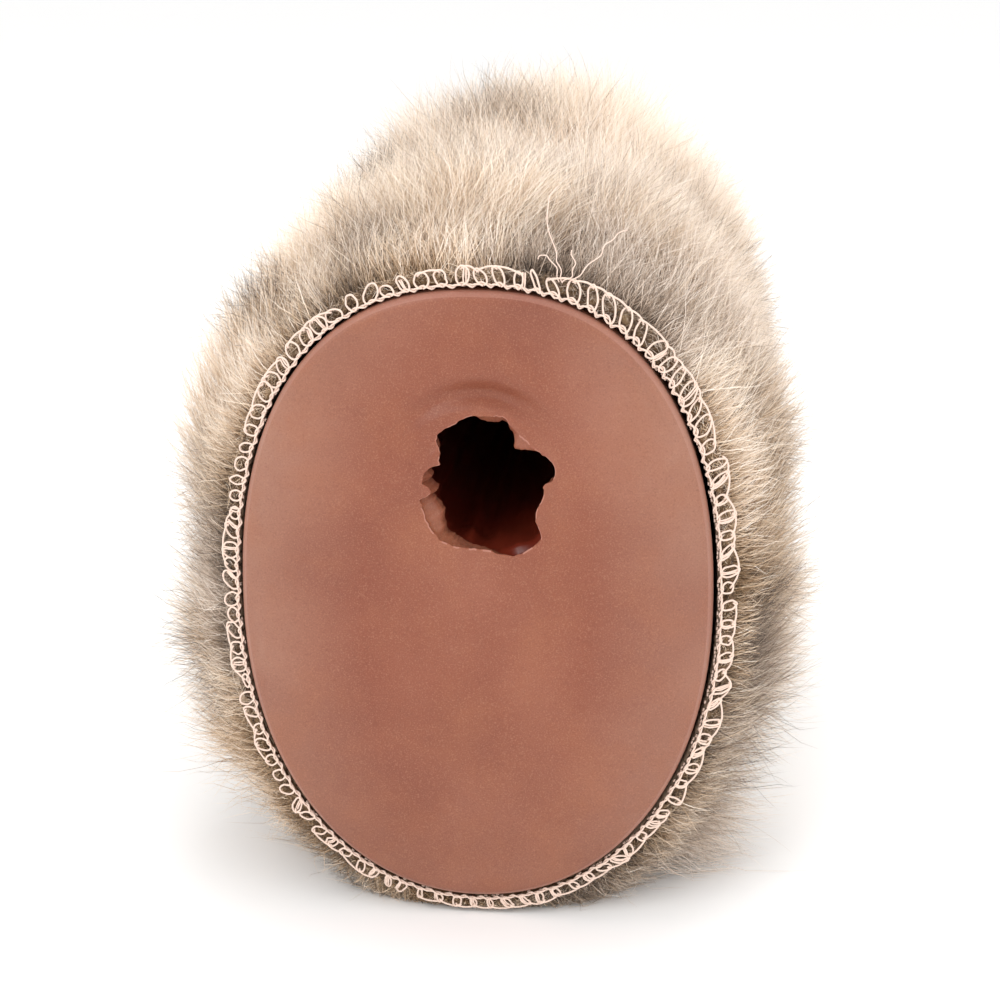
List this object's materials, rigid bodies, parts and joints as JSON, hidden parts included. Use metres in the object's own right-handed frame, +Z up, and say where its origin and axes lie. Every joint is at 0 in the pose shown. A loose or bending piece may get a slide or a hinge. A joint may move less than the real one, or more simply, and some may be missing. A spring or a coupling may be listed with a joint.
{
  "type": "wash mitt",
  "caption": "Fur-covered wash mitt lying on its underside: an oval moulded rubber core with a ragged pocket mouth slides out of a faux-fur sleeve with an overlocked rim.",
  "frame": {"origin": "under the middle of the mitt, on the surface that it lies on", "axes": "+Z up, +Y from the front face to the rear, +X to the right as seen from in front of the face"},
  "size_m": [0.1618, 0.259, 0.1807],
  "materials": {
    "core_rubber": "satin",
    "backing_knit": "matte",
    "pile_fur": "soft",
    "sewing_thread": "satin"
  },
  "bodies": {
    "sleeve": {"side_panel_backing": "backing_knit", "end_panel_backing": "backing_knit", "side_panel_pile": "pile_fur", "end_panel_pile": "pile_fur", "rim_upper_looper_thread": "sewing_thread", "rim_lower_looper_thread": "sewing_thread", "rim_needle_thread": "sewing_thread", "side_seam_needle_thread": "sewing_thread", "side_seam_looper_thread": "sewing_thread", "end_seam_needle_thread": "sewing_thread", "end_seam_looper_thread": "sewing_thread", "side_seam_thread_tails": "sewing_thread"},
    "core": {"core_body": "core_rubber"}
  },
  "joints": [
    {"name": "core_slide", "type": "slide", "parent": "sleeve", "child": "core", "axis": [0, -1, 0], "range_m": [0, 0.236]}
  ]
}
